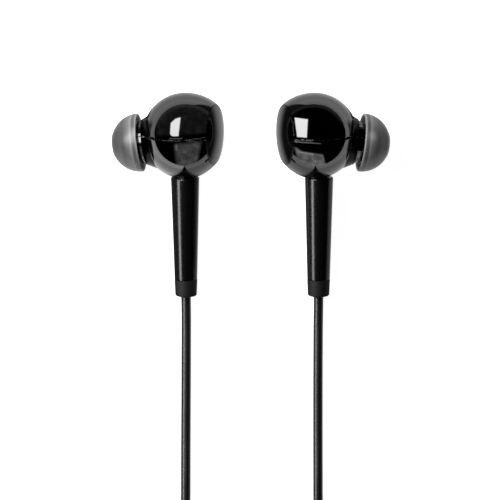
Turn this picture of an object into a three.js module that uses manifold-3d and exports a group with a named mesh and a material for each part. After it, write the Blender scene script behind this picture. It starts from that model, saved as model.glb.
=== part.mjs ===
// Wired earphones: two in-ear buds lying on a table, their cables, the Y splitter and the 3.5 mm plug.
// Millimetres, +Z up. The table is z = 0 and the pair lies with its stems toward -Y, as seen from above.
import * as THREE from "three";
import { mergeVertices } from "three/addons/utils/BufferGeometryUtils.js";
import Module from "manifold-3d";

// ---- Driving dimensions ----
const clearance = 0.3; // between pieces that touch on the real object

// Housing: a ball whose capped side rises a little away from the stem, split level with the ear tip
const ballRadius = 9;
const shellWall = 1.1;
const mouthAt = 6.2; // ball's centre to the shell's open face
const partingHeight = 0.35; // above the ball's centre
const partingGap = 0.2;
const capRise = 0.5; // how far the cap stands off the ball's axis, away from the stem

// Back cap
const capRimThickness = 0.05;
const capEdgeRadius = 6;
const capDomeRadius = 22;
const capSpigotDepth = 1.2;
const capSpigotWall = 0.8;
const capInnerFloor = 0.5; // between the cap's rim face and its inner face

// Neck and nozzle, on an axis that leaves the ball a little low
const nozzleTilt = 7; // degrees, down from square to the stem
const nozzleTurn = 10.5; // degrees round the stem, out of line with the cap
const nozzleDrop = 0.4;
const neckRootAt = 5.6;
const neckRootRadius = 6.35;
const neckEndAt = 9.6;
const neckEndRadius = 4.35;
const neckHollow = 1.1; // 1 would be a plain cone
const neckBore = 3.2;
const nozzleRootAt = 6.8;
const nozzleBaseLength = 0.6;
const nozzleBaseRadius = 3.95;
const nozzleTubeLength = 3.9;
const nozzleRadius = 2.4;
const nozzleBore = 1.5;
const barbHeight = 0.22;
const barbAt = 2.6; // from the base to the barb's crest
const meshSeatRadius = 2.1;
const meshSeatDepth = 0.55;
const meshThickness = 0.25;
const meshHoleRadius = 0.32;

// Ear tip
const tipRadius = 6.1;
const tipRimRound = 0.3;
const tipLength = 5.9;
const tipWall = 0.55;
const tipOpening = 1.4;
const tipFrontRim = 1.05; // flat front round the opening
const tipLip = 0.6;
const tipCoreWall = 0.65;
const tipCoreSetBack = 1.4; // rim to the core's end
const tipRimAt = { left: 9.45, right: 9.8 }; // how far each tip is pushed on its nozzle

// Stem and boot
const stemOffset = { left: 0.15, right: 1.05 }; // stem's axis from the ball's centre, toward the tip
const stemLean = { left: 0.2, right: 0 }; // degrees, how far each stem's end leans to the middle
const stemTopRadius = 2.96;
const stemTopRounding = 0.25;
const stemEndAt = 30.5;
const stemEndRadius = 2.38;
const stemSpigotRadius = 2.2;
const stemSpigotReach = 1.3; // how far the stem's spigot stands in the ball's hollow
const bootLength = 3.35;
const bootEndRadius = 2.26;
const bootRounding = 0.45;

// Driver, 10 mm, on the ball's own axis
const driverRadius = 5;
const driverFront = 3.7;
const frameDepth = 2.4;
const frameWall = 0.45;
const frameLedge = 0.65;
const yokeRadius = 3.6;
const yokeDepth = 2.4;
const yokeFloor = 0.6;
const yokeWall = 0.4;
const yokeVent = 0.5;
const magnetRadius = 2;
const magnetThickness = 0.8;
const plateThickness = 0.4;
const coilThickness = 0.5;
const coilLength = 1.3;
const filmThickness = 0.15;
const filmDome = 0.65;
const gasketThickness = 0.5;
const gasketWidth = 0.65;
const shelfHole = 4;
const damperRadius = 1.2;
const damperThickness = 0.3;
const boardLength = 2.6;
const boardWidth = 1.6;
const boardThickness = 0.4;
const wireRadius = 0.3;
const wireRise = 3; // from the cable's end up to the terminal board
const anchorRadius = 2;
const anchorLength = 0.6;

// Cables
const branchRadius = 1;
const branchEntryX = { left: -13.87, right: 14.06 };
const branchEntryY = -64.8;
const branchBend = 5;
const branchCoilX = 14.8;
const branchCoilRadius = 13.45; // outer turn, to the cable's middle
const branchPitch = 2.45;
const branchTurns = 4;
const mainRadius = 1.2;
const mainBend = 6;
const mainCoilX = -7.5;
const mainCoilRadius = 20.3;
const mainPitch = 2.85;
const mainTurns = 10;
const tieThickness = 0.5;
const tieWidth = 3;

// Splitter
const splitterTopY = -95;
const splitterLength = 12;
const splitterTopWidth = 6.6;
const splitterEndWidth = 4.4;
const splitterHeight = 4;
const splitterEdge = 0.5;

// Plug, a 3.5 mm three-pole jack
const plugX = 20;
const plugBootLength = 8;
const plugBootRadius = 2.6;
const plugGrooveDepth = 0.35;
const plugGripRadius = 3.2;
const plugGripLength = 12.5;
const jackRadius = 1.75;
const jackSeatDepth = 3;
const sleeveWall = 0.7;
const sleeveLength = 7.6;
const ringLength = 1.6;
const insulatorLength = 0.8;
const tipContactLength = 3.6;
const pinRadius = 0.45;
const contactGap = 0.1;

// Places of the two buds on the table
const budRoll = 16.5; // degrees, each ear tip's side down
const ballX = { left: -13.76, right: 13.15 };
const ballY = 12.34;

// Fineness
const roundSides = 24;
const smallSides = 12;
const stemSides = 16;
const degree = Math.PI / 180;

// ---- Worked out from the dimensions above ----
const bootAt = stemEndAt + clearance;
const bootEndAt = bootAt + bootLength;
const cableBore = branchRadius + clearance;
const nozzleBaseAt = neckEndAt + clearance;
const nozzleTubeAt = nozzleBaseAt + nozzleBaseLength;
const nozzleEndAt = nozzleTubeAt + nozzleTubeLength;
const tipBore = nozzleRadius + barbHeight + clearance;
const innerBallRadius = ballRadius - shellWall;
const mouthRadius = Math.sqrt(innerBallRadius ** 2 - mouthAt ** 2);
const stemTopAt = ballRadius;
const stemSpigotTopAt = innerBallRadius - stemSpigotReach;
const tipSemiAxis = tipLength; // of the tip's half ellipsoid, which the flat front cuts short
const capRimAt = mouthAt + clearance;
const coilLift = tieThickness + clearance;

// ---- Materials ----
function plastic(color, roughness) {
  return new THREE.MeshStandardMaterial({ color, roughness, metalness: 0 });
}
function metal(color, roughness) {
  return new THREE.MeshStandardMaterial({ color, roughness, metalness: 1 });
}
const glossBlack = plastic(0x0a0a0b, 0.08);
const satinBlack = plastic(0x0c0c0d, 0.35);
const rubberBlack = plastic(0x111112, 0.7);
const cableBlack = plastic(0x161617, 0.45);
const smokeSilicone = plastic(0x5d5d5f, 0.4);
const frameGrey = plastic(0x3a3c40, 0.5);
const filmAmber = plastic(0xb98a4a, 0.3);
const foamGrey = plastic(0x2b2b2b, 0.95);
const feltWhite = plastic(0xd8d4c8, 0.95);
const boardGreen = plastic(0x1d5a36, 0.5);
const insulatorBlack = plastic(0x08080a, 0.3);
const steel = metal(0x9a9da0, 0.35);
const nickel = metal(0xc6c3bc, 0.18);
const copper = metal(0xb4693a, 0.35);
const gold = metal(0xd7b061, 0.2);

// ---- Solids ----
const wasm = await Module();
wasm.setup();

// A closed geometry as a solid that can be joined and cut.
function solidOf(geometry) {
  const bare = geometry.index ? geometry.toNonIndexed() : geometry.clone();
  bare.deleteAttribute("normal");
  bare.deleteAttribute("uv");
  const merged = mergeVertices(bare, 1e-4);
  const mesh = new wasm.Mesh({
    numProp: 3,
    vertProperties: merged.attributes.position.array,
    triVerts: new Uint32Array(merged.index.array),
  });
  return new wasm.Manifold(mesh);
}

function geometryOf(solid) {
  const mesh = solid.getMesh();
  const geometry = new THREE.BufferGeometry();
  geometry.setAttribute("position", new THREE.BufferAttribute(mesh.vertProperties, 3));
  geometry.setIndex(new THREE.BufferAttribute(mesh.triVerts, 1));
  geometry.computeVertexNormals();
  return geometry;
}

// A turned solid from [radius, height] points, in either direction; open profiles end on the axis.
function turned(profile, sides = roundSides) {
  const points = profile.map(([r, y]) => new THREE.Vector2(r, y));
  const onAxis = profile[0][0] === 0 && profile.at(-1)[0] === 0;
  if (THREE.ShapeUtils.area(points) < 0) points.reverse();
  if (!onAxis) points.push(points[0].clone());
  return new THREE.LatheGeometry(points, sides);
}

// Points of an arc of an ellipse in a profile, from one angle to another, 0 on the axis.
function arc(radius, semiAxis, from, to, steps) {
  const points = [];
  for (let i = 0; i <= steps; i++) {
    const angle = from + ((to - from) * i) / steps;
    points.push([radius * Math.sin(angle), semiAxis * Math.cos(angle)]);
  }
  return points;
}

// A tube of a round section along points in space, straight from ring to ring.
function ringTube(points, radius, sides) {
  const positions = [];
  const up = new THREE.Vector3(0, 0, 1);
  points.forEach((point, i) => {
    const before = points[Math.max(i - 1, 0)];
    const after = points[Math.min(i + 1, points.length - 1)];
    const along = after.clone().sub(before).normalize();
    const side = along.clone().cross(up).normalize();
    const under = along.clone().cross(side);
    for (let k = 0; k < sides; k++) {
      const angle = (2 * Math.PI * k) / sides;
      const ring = point.clone();
      ring.addScaledVector(side, radius * Math.cos(angle));
      ring.addScaledVector(under, radius * Math.sin(angle));
      positions.push(ring.x, ring.y, ring.z);
    }
  });
  const faces = [];
  for (let i = 0; i + 1 < points.length; i++) {
    for (let k = 0; k < sides; k++) {
      const a = i * sides + k;
      const b = i * sides + ((k + 1) % sides);
      faces.push(a, b, a + sides, b, b + sides, a + sides);
    }
  }
  const last = (points.length - 1) * sides;
  for (let k = 1; k + 1 < sides; k++) {
    faces.push(0, k + 1, k, last, last + k, last + k + 1);
  }
  const geometry = new THREE.BufferGeometry();
  geometry.setAttribute("position", new THREE.Float32BufferAttribute(positions, 3));
  geometry.setIndex(faces);
  geometry.computeVertexNormals();
  return geometry;
}

// A tube along a smooth curve through a route's points.
function routeTube(points, radius, steps, sides = 8) {
  const route = new THREE.CatmullRomCurve3(points.map((p) => new THREE.Vector3(...p)));
  const corners = [];
  for (let k = 0; k < sides; k++) {
    const angle = (2 * Math.PI * (k + 0.5)) / sides;
    corners.push(new THREE.Vector2(radius * Math.cos(angle), radius * Math.sin(angle)));
  }
  const section = new THREE.Shape(corners);
  return new THREE.ExtrudeGeometry(section, { steps, extrudePath: route });
}

function piece(name, geometry, material) {
  const mesh = new THREE.Mesh(geometry, material);
  mesh.name = name;
  return mesh;
}

// ---- The bud's three axes: turned pieces have their axis along +Y and are stood on one of these ----
function ballAxis() {
  const axis = new THREE.Group();
  axis.rotation.z = -Math.PI / 2;
  axis.updateMatrix();
  return axis;
}
function nozzleAxis() {
  const axis = new THREE.Group();
  axis.position.y = -nozzleDrop;
  axis.rotation.y = -nozzleTurn * degree;
  axis.rotation.z = -(90 + nozzleTilt) * degree;
  axis.updateMatrix();
  return axis;
}
function stemAxis(side) {
  const axis = new THREE.Group();
  axis.position.x = stemOffset[side];
  axis.rotation.z = Math.PI;
  axis.updateMatrix();
  return axis;
}

// ---- Housing ----
// Lets a turned solid rise toward the cap, along a curve that starts level at the ball's middle.
function risen(geometry) {
  const place = geometry.attributes.position;
  for (let i = 0; i < place.count; i++) {
    const toCap = Math.max(-place.getY(i), 0);
    place.setX(i, place.getX(i) - capRise * (toCap / capRimAt) ** 2);
  }
  return geometry;
}

function shellSolid(side) {
  const outer = arc(ballRadius, ballRadius, 0, Math.acos(-mouthAt / ballRadius), 11);
  const ball = solidOf(risen(turned([...outer, [0, -mouthAt]])).applyMatrix4(ballAxis().matrix));
  const neck = turned([
    [0, neckRootAt],
    [neckRootRadius, neckRootAt],
    ...neckCurve(),
    [0, neckEndAt],
  ]);
  const body = ball.add(solidOf(neck.applyMatrix4(nozzleAxis().matrix)));

  const shelfAt = driverFront + gasketThickness + 2 * clearance;
  const shelfAngle = Math.acos(shelfAt / innerBallRadius);
  const overrun = 1;
  const hollow = turned([
    [0, shelfAt],
    ...arc(innerBallRadius, innerBallRadius, shelfAngle, Math.acos(-mouthAt / innerBallRadius), 8),
    [mouthRadius, -mouthAt - overrun],
    [0, -mouthAt - overrun],
  ]);
  const horn = turned([
    [0, shelfAt - overrun],
    [shelfHole, shelfAt - overrun],
    [shelfHole, shelfAt],
    [neckBore, nozzleRootAt - clearance],
    [neckBore, neckEndAt + overrun],
    [0, neckEndAt + overrun],
  ]);
  const socket = turned(
    [
      [0, innerBallRadius - 3 * shellWall],
      [stemSpigotRadius + clearance, innerBallRadius - 3 * shellWall],
      [stemSpigotRadius + clearance, ballRadius + overrun],
      [0, ballRadius + overrun],
    ],
    smallSides,
  );
  return body
    .subtract(solidOf(risen(hollow).applyMatrix4(ballAxis().matrix)))
    .subtract(solidOf(horn.applyMatrix4(nozzleAxis().matrix)))
    .subtract(solidOf(socket.applyMatrix4(stemAxis(side).matrix)));
}

// The neck draws in from the ball to its end in a hollow curve.
function neckCurve() {
  const steps = 5;
  const points = [];
  for (let i = 0; i <= steps; i++) {
    const t = i / steps;
    const shrink = 1 - (1 - t) ** neckHollow;
    points.push([
      neckRootRadius + (neckEndRadius - neckRootRadius) * shrink,
      neckRootAt + (neckEndAt - neckRootAt) * t,
    ]);
  }
  return points.slice(1);
}

// The half of the shell above or below the parting plane.
function shellHalf(side, upper) {
  const size = 4 * ballRadius;
  const box = new THREE.BoxGeometry(size, size, size);
  const middle = upper ? partingHeight + (partingGap + size) / 2 : partingHeight - (partingGap + size) / 2;
  box.translate(0, middle, 0);
  return geometryOf(shellSolid(side).intersect(solidOf(box)));
}

function backCap() {
  const rimRadius = Math.sqrt(ballRadius ** 2 - capRimAt ** 2);
  const spigotRadius = mouthRadius - clearance;
  const domeAngle = Math.asin(capEdgeRadius / capDomeRadius);
  const domeCentre = capRimAt + capRimThickness - capDomeRadius * Math.cos(domeAngle);
  const dome = arc(capDomeRadius, capDomeRadius, 0, domeAngle, 3).map(([r, y]) => [r, -domeCentre - y]);
  const geometry = turned([
    ...dome,
    [rimRadius, -capRimAt],
    [spigotRadius, -capRimAt],
    [spigotRadius, -capRimAt + capSpigotDepth],
    [spigotRadius - capSpigotWall, -capRimAt + capSpigotDepth],
    [spigotRadius - capSpigotWall, -capRimAt + capInnerFloor - capRimThickness],
    [0, -capRimAt + capInnerFloor - capRimThickness],
  ]);
  geometry.translate(-capRise, 0, 0);
  return geometry;
}

// ---- Nozzle and ear tip ----
function nozzle() {
  const crest = nozzleTubeAt + barbAt;
  return turned(
    [
      [nozzleBore, nozzleRootAt],
      [neckBore - clearance, nozzleRootAt],
      [neckBore - clearance, nozzleBaseAt],
      [nozzleBaseRadius, nozzleBaseAt],
      [nozzleBaseRadius, nozzleTubeAt],
      [nozzleRadius, nozzleTubeAt],
      [nozzleRadius, crest - 0.4],
      [nozzleRadius + barbHeight, crest],
      [nozzleRadius, nozzleEndAt],
      [meshSeatRadius, nozzleEndAt],
      [meshSeatRadius, nozzleEndAt - meshSeatDepth],
      [nozzleBore, nozzleEndAt - meshSeatDepth],
    ],
    smallSides,
  );
}

function nozzleMesh() {
  const disc = new THREE.Shape();
  disc.absarc(0, 0, meshSeatRadius - clearance, 0, 2 * Math.PI, false);
  const holes = 6;
  for (let i = 0; i <= holes; i++) {
    const away = i === holes ? 0 : nozzleBore * 0.62;
    const hole = new THREE.Path();
    const x = away * Math.cos((i * 2 * Math.PI) / holes);
    const y = away * Math.sin((i * 2 * Math.PI) / holes);
    hole.absarc(x, y, meshHoleRadius, 0, 2 * Math.PI, true);
    disc.holes.push(hole);
  }
  const settings = { depth: meshThickness, bevelEnabled: false, curveSegments: 4 };
  const geometry = new THREE.ExtrudeGeometry(disc, settings);
  geometry.rotateX(-Math.PI / 2);
  geometry.translate(0, nozzleEndAt - meshSeatDepth + clearance / 2, 0);
  return geometry;
}

// Heights count from the rim toward the front, which narrows to a lip round the sound opening.
function earTip(rimAt) {
  const innerAxis = tipSemiAxis - tipWall;
  const innerRadius = tipRadius - tipWall;
  const coreRadius = tipBore + tipCoreWall;
  const lipRadius = tipOpening + tipFrontRim;
  const raise = (points) => points.map(([r, y]) => [r, y + tipRimRound]);
  const outside = raise(arc(tipRadius, tipSemiAxis, Math.PI / 2, Math.asin(lipRadius / tipRadius), 6));
  const inside = raise(
    arc(innerRadius, innerAxis, Math.asin((coreRadius + 0.1) / innerRadius), Math.PI / 2, 4),
  );
  const profile = [
    [tipRadius - 0.25, 0],
    ...outside,
    [tipOpening + 0.75, tipLength - 0.06],
    [tipOpening + 0.15, tipLength],
    [tipOpening, tipLength - 0.15],
    [tipOpening, tipLength - tipLip],
    [tipBore, tipLength - tipLip],
    [tipBore, tipCoreSetBack],
    [coreRadius, tipCoreSetBack],
    [coreRadius, inside[0][1] - 0.2],
    ...inside,
    [innerRadius + 0.05, 0],
  ];
  const geometry = turned(profile);
  geometry.translate(0, rimAt, 0);
  return geometry;
}

// ---- Stem, boot and what runs in them ----
function stem() {
  return turned(
    [
      [cableBore, stemSpigotTopAt],
      [stemSpigotRadius, stemSpigotTopAt],
      [stemSpigotRadius, stemTopAt],
      [stemTopRadius - stemTopRounding, stemTopAt],
      [stemTopRadius, stemTopAt + stemTopRounding],
      [stemEndRadius, stemEndAt],
      [cableBore, stemEndAt],
    ],
    stemSides,
  );
}

function boot() {
  const edge = arc(bootRounding, bootRounding, Math.PI / 2, 0, 3);
  const rounded = edge.map(([r, y]) => [bootEndRadius - bootRounding + r, bootEndAt - bootRounding + y]);
  const profile = [[cableBore, bootAt], [stemEndRadius, bootAt], ...rounded, [cableBore, bootEndAt]];
  return turned(profile, stemSides);
}

function innerCable() {
  const top = stemSpigotTopAt - anchorLength - 2 * clearance;
  const geometry = new THREE.CylinderGeometry(branchRadius, branchRadius, bootEndAt - top, 8, 1);
  geometry.translate(0, (bootEndAt + top) / 2, 0);
  return geometry;
}

function cableAnchor() {
  const end = stemSpigotTopAt - clearance;
  return turned(
    [
      [cableBore, end - anchorLength],
      [anchorRadius - 0.2, end - anchorLength],
      [anchorRadius, end - anchorLength + 0.2],
      [anchorRadius, end],
      [cableBore, end],
    ],
    smallSides,
  );
}

// The twisted pair from the cable's end to the terminal board, in the bud's own frame.
function leadWire(side) {
  const start = -(stemSpigotTopAt - anchorLength - 2 * clearance) + wireRadius;
  const atCable = stemOffset[side] - branchRadius + wireRadius;
  const behind = -yokeRadius / 4;
  const route = [0, 0.2, 0.4, 0.7, 1].map((share) => {
    const across = THREE.MathUtils.smoothstep(share, 0, 0.4);
    return [atCable + (behind - atCable) * across, start + wireRise * share, 0];
  });
  return routeTube(route, wireRadius, 8, 6);
}

// ---- Driver ----
function driverFrame() {
  const inner = driverRadius - frameWall;
  const back = driverFront - frameDepth;
  const hole = yokeRadius + clearance;
  const ledgeAt = driverFront - 0.6;
  return turned(
    [
      [hole, back],
      [driverRadius, back],
      [driverRadius, driverFront],
      [inner, driverFront],
      [inner, ledgeAt],
      [inner - frameLedge, ledgeAt],
      [inner - frameLedge, ledgeAt - 0.4],
      [inner, ledgeAt - 0.4],
      [inner, back + frameWall],
      [hole, back + frameWall],
    ],
    smallSides,
  );
}

const yokeBack = driverFront - 0.7 - yokeDepth;
function driverYoke() {
  const inner = yokeRadius - yokeWall;
  return turned(
    [
      [yokeVent, yokeBack],
      [yokeRadius, yokeBack],
      [yokeRadius, yokeBack + yokeDepth],
      [inner, yokeBack + yokeDepth],
      [inner, yokeBack + yokeFloor],
      [yokeVent, yokeBack + yokeFloor],
    ],
    smallSides,
  );
}

const magnetBack = yokeBack + yokeFloor + clearance;
function washer(inner, outer, from, length) {
  return turned(
    [
      [inner, from],
      [outer, from],
      [outer, from + length],
      [inner, from + length],
    ],
    smallSides,
  );
}
function disc(radius, from, length) {
  return turned(
    [
      [0, from],
      [radius, from],
      [radius, from + length],
      [0, from + length],
    ],
    smallSides,
  );
}

// The film: a dome in the middle, a rolled surround outside it.
function diaphragm() {
  const edge = driverRadius - frameWall - clearance;
  const rest = driverFront - 0.15;
  const coilMiddle = magnetRadius + 0.1 + clearance + coilThickness / 2;
  const top = [
    [0, rest + filmDome],
    [coilMiddle * 0.6, rest + filmDome * 0.7],
    [coilMiddle, rest],
    [(coilMiddle + edge) / 2, rest + 0.25],
    [edge, rest],
  ];
  const under = top.map(([r, y]) => [r, y - filmThickness]).reverse();
  return turned([...top, ...under], smallSides);
}

function voiceCoil() {
  const inner = magnetRadius + 0.1 + clearance;
  const top = driverFront - 0.15 - filmThickness - clearance + 0.1;
  return washer(inner, inner + coilThickness, top - coilLength, coilLength);
}

function terminalBoard() {
  const geometry = new THREE.BoxGeometry(boardWidth, boardThickness, boardLength);
  const away = damperRadius + clearance + boardWidth / 2;
  geometry.translate(away, yokeBack - clearance - boardThickness / 2, 0);
  return geometry;
}

// ---- How a bud lies: on its ball and its boot, and the cable keeps it from rolling on to its ear tip ----
function restPose(side) {
  const offset = stemOffset[side];
  const bootTouch = bootEndAt - bootRounding;
  const roll = budRoll * degree;
  const reach = bootEndRadius + offset * Math.sin(roll);
  const pitch = Math.asin(ballRadius / Math.hypot(bootTouch, reach)) - Math.atan(reach / bootTouch);
  return { roll, pitch };
}

function bud(side) {
  const group = new THREE.Group();
  const name = (word) => word + "_" + side;
  group.add(
    piece(name("shell_upper"), shellHalf(side, true), glossBlack),
    piece(name("shell_lower"), shellHalf(side, false), glossBlack),
    piece(name("lead_wire"), leadWire(side), copper),
  );

  const onBall = ballAxis();
  onBall.add(
    piece(name("back_cap"), backCap(), glossBlack),
    piece(name("driver_frame"), driverFrame(), frameGrey),
    piece(name("driver_yoke"), driverYoke(), steel),
    piece(name("driver_magnet"), disc(magnetRadius, magnetBack, magnetThickness), nickel),
    piece(
      name("driver_plate"),
      disc(magnetRadius + 0.1, magnetBack + magnetThickness + clearance, plateThickness),
      steel,
    ),
    piece(name("diaphragm"), diaphragm(), filmAmber),
    piece(name("voice_coil"), voiceCoil(), copper),
    piece(
      name("driver_gasket"),
      washer(driverRadius - gasketWidth, driverRadius, driverFront + clearance, gasketThickness),
      foamGrey,
    ),
    piece(name("terminal_board"), terminalBoard(), boardGreen),
    piece(
      name("rear_damper"),
      disc(damperRadius, yokeBack - clearance - damperThickness, damperThickness),
      feltWhite,
    ),
  );

  const onNozzle = nozzleAxis();
  onNozzle.add(
    piece(name("nozzle"), nozzle(), satinBlack),
    piece(name("nozzle_mesh"), nozzleMesh(), steel),
    piece(name("ear_tip"), earTip(tipRimAt[side]), smokeSilicone),
  );

  const onStem = stemAxis(side);
  onStem.add(
    piece(name("stem"), stem(), satinBlack),
    piece(name("boot"), boot(), rubberBlack),
    piece(name("inner_cable"), innerCable(), cableBlack),
    piece(name("cable_anchor"), cableAnchor(), rubberBlack),
  );
  group.add(onBall, onNozzle, onStem);

  const { roll, pitch } = restPose(side);
  const mirror = side === "left" ? -1 : 1;
  const lean = -stemLean[side] * degree;
  group.position.set(ballX[side], ballY, ballRadius);
  group.rotation.set(pitch, mirror * roll, mirror * lean, "ZXY");
  group.scale.x = mirror;
  return group;
}

// ---- Cables ----
// Free stretch from each boot: out along the stem's axis, down to the table and straight on to its coil.
const branchRoute = {
  left: [
    [-13.79, -21.4, 2.06],
    [-13.78, -22.95, 1.74],
    [-13.77, -25, 1.36],
    [-13.77, -27.5, 1.1],
    [-13.78, -31, 1],
    [-13.8, -38, 1],
    [-13.83, -45, 1],
    [-13.86, -51, 1.05],
    [-13.87, -56, 1.4],
    [-13.87, -59.5, 1.75],
    [-13.87, -62.5, 1.8],
  ],
  right: [
    [14.17, -21.4, 2.07],
    [14.17, -22.95, 1.76],
    [14.15, -25, 1.38],
    [14.12, -27.5, 1.1],
    [14.1, -31, 1],
    [14.07, -38, 1],
    [14.06, -45, 1],
    [14.06, -51, 1.05],
    [14.06, -56, 1.4],
    [14.06, -59.5, 1.75],
    [14.06, -62.5, 1.8],
  ],
};

// From each coil's upper layer down to the splitter; the right one is mirrored.
const branchEndRoute = [
  [-1.35, -84.5, 4.25],
  [-1.35, -87, 4.2],
  [-1.35, -89, 3.75],
  [-1.35, -91, 2.9],
  [-1.35, -92.8, 2.2],
  [-1.35, -94.7, 2],
];

// From the main coil's upper layer, over its first turn, down and round to the plug.
const mainEndRoute = [
  [-4.8, -112.01, 4.85],
  [0, -112.01, 4.85],
  [5, -112.03, 4.4],
  [9.5, -112.2, 3.7],
  [13.5, -112.9, 3.3],
  [17, -114.9, 3.2],
  [19.3, -117.9, 3.2],
  [20, -121, 3.2],
  [20, -123.3, 3.2],
];

// A flat coil in two layers: it comes in heading -Y, bends out to the outer turn, winds in, climbs a layer
// in the half turn where the spiral reverses, winds out again and leaves at the angle leaveAt.
function coilPoints({ entry, bend, centreX, outerRadius, pitch, turns, radius, leaveAt, leaveRun }) {
  const steps = 24; // to a turn
  const reach = outerRadius + bend;
  const bendX = entry[0] + bend;
  const drop = Math.sqrt(reach ** 2 - (bendX - centreX) ** 2);
  const centre = new THREE.Vector2(centreX, entry[1] - drop);
  const startAngle = Math.atan2(drop, bendX - centreX);
  const low = coilLift + radius;
  const points = [new THREE.Vector3(entry[0], entry[1] + 2 * radius, low)];
  const bendSteps = 5;
  for (let i = 0; i <= bendSteps; i++) {
    const angle = Math.PI + (startAngle * i) / bendSteps;
    points.push(new THREE.Vector3(bendX + bend * Math.cos(angle), entry[1] + bend * Math.sin(angle), low));
  }
  const total = 2 * Math.PI * turns + startAngle - leaveAt;
  const count = Math.round((total / (2 * Math.PI)) * steps);
  for (let i = 1; i <= count; i++) {
    const wound = (total * i) / count;
    const angle = startAngle - wound;
    const inward = Math.min(wound, total - wound) / (2 * Math.PI);
    const r = outerRadius - pitch * inward;
    const climb = THREE.MathUtils.smoothstep(wound, total / 2 - Math.PI / 2, total / 2 + Math.PI / 2);
    const z = low + pitch * climb;
    points.push(new THREE.Vector3(centre.x + r * Math.cos(angle), centre.y + r * Math.sin(angle), z));
  }
  const last = points.at(-1);
  const heading = new THREE.Vector3(Math.sin(leaveAt), -Math.cos(leaveAt), 0);
  points.push(last.clone().addScaledVector(heading, leaveRun));
  return { points, centre };
}

function branchCoil(side) {
  const mirror = side === "left" ? 1 : -1;
  const coil = coilPoints({
    entry: [mirror * branchEntryX[side], branchEntryY],
    bend: branchBend,
    centreX: -branchCoilX,
    outerRadius: branchCoilRadius,
    pitch: branchPitch,
    turns: branchTurns,
    radius: branchRadius,
    leaveAt: 0,
    leaveRun: 2 * branchRadius,
  });
  coil.centre.x *= mirror;
  for (const point of coil.points) point.x *= mirror;
  return coil;
}

function mainCoil() {
  return coilPoints({
    entry: [0, splitterTopY - splitterLength - clearance - 2 * mainRadius],
    bend: mainBend,
    centreX: mainCoilX,
    outerRadius: mainCoilRadius,
    pitch: mainPitch,
    turns: mainTurns,
    radius: mainRadius,
    leaveAt: Math.PI / 2,
    leaveRun: 2 * mainRadius,
  });
}

// Least gap of a wound tube to itself, from each point to each run at least half a turn away.
function leastGap(points, radius) {
  const apart = 12;
  const nearest = new THREE.Vector3();
  let least = Infinity;
  points.forEach((point, i) => {
    for (let j = i + apart; j + 1 < points.length; j++) {
      new THREE.Line3(points[j], points[j + 1]).closestPointToPoint(point, true, nearest);
      least = Math.min(least, nearest.distanceTo(point));
    }
  });
  return least - 2 * radius;
}

function lengthOf(points) {
  return points.slice(1).reduce((sum, point, i) => sum + point.distanceTo(points[i]), 0);
}

// A band round all the turns at the coil's side away from the buds, under them and over them.
function tie(coil, radius, pitch) {
  const held = coil.points.filter((p) => Math.abs(p.x - coil.centre.x) < tieWidth && p.y < coil.centre.y);
  const room = radius + clearance;
  const low = Math.min(...held.map((p) => p.y)) - room;
  const high = Math.max(...held.map((p) => p.y)) + room;
  const top = coilLift + 2 * radius + pitch + clearance;
  const outside = chamfered(low - tieThickness, high + tieThickness, 0, top + tieThickness, 0.6);
  const inside = chamfered(low, high, tieThickness, top, 0.3);
  const outline = new THREE.Shape(outside);
  outline.holes.push(new THREE.Path(inside.reverse()));
  const geometry = new THREE.ExtrudeGeometry(outline, { depth: tieWidth, bevelEnabled: false });
  const basis = new THREE.Matrix4();
  basis.makeBasis(new THREE.Vector3(0, 1, 0), new THREE.Vector3(0, 0, 1), new THREE.Vector3(1, 0, 0));
  geometry.applyMatrix4(basis);
  geometry.translate(coil.centre.x - tieWidth / 2, 0, 0);
  return geometry;
}

function chamfered(x0, x1, y0, y1, cut) {
  return [
    [x0 + cut, y0],
    [x1 - cut, y0],
    [x1, y0 + cut],
    [x1, y1 - cut],
    [x1 - cut, y1],
    [x0 + cut, y1],
    [x0, y1 - cut],
    [x0, y0 + cut],
  ].map(([x, y]) => new THREE.Vector2(x, y));
}

// ---- Splitter: flat underneath, wide where the branches enter, narrow where the main cable leaves ----
function splitter() {
  const top = splitterTopWidth / 2;
  const end = splitterEndWidth / 2;
  const outline = new THREE.Shape();
  outline.moveTo(-end, -splitterLength);
  outline.lineTo(end, -splitterLength);
  outline.bezierCurveTo(end, -splitterLength / 2, top, -splitterLength / 2, top, -1);
  outline.lineTo(top - 0.8, 0);
  outline.lineTo(-top + 0.8, 0);
  outline.lineTo(-top, -1);
  outline.bezierCurveTo(-top, -splitterLength / 2, -end, -splitterLength / 2, -end, -splitterLength);
  const geometry = new THREE.ExtrudeGeometry(outline, {
    depth: splitterHeight - 2 * splitterEdge,
    bevelThickness: splitterEdge,
    bevelSize: splitterEdge,
    bevelOffset: -splitterEdge,
    bevelSegments: 2,
    curveSegments: 5,
  });
  geometry.translate(0, splitterTopY, splitterEdge);
  return geometry;
}

// ---- Plug: heights count from the cable's end of its boot, along the plug ----
const gripAt = plugBootLength + clearance;
const shoulderAt = gripAt + plugGripLength;
const sleeveEndAt = shoulderAt + sleeveLength;
const ringAt = sleeveEndAt + insulatorLength + 2 * contactGap;
const tipContactAt = ringAt + ringLength + insulatorLength + 2 * contactGap;

function plugBoot() {
  const end = mainRadius + 0.5;
  const grooves = 3;
  const step = plugBootLength / (grooves + 1);
  const profile = [[0, 0], [end, 0]];
  for (let i = 1; i <= grooves; i++) {
    const r = end + ((plugBootRadius - end) * i) / (grooves + 1);
    const at = i * step;
    const floor = r - plugGrooveDepth;
    profile.push([r, at - 0.4], [floor, at - 0.25], [floor, at + 0.25], [r, at + 0.4]);
  }
  profile.push([plugBootRadius, plugBootLength], [0, plugBootLength]);
  return turned(profile, smallSides);
}

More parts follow.
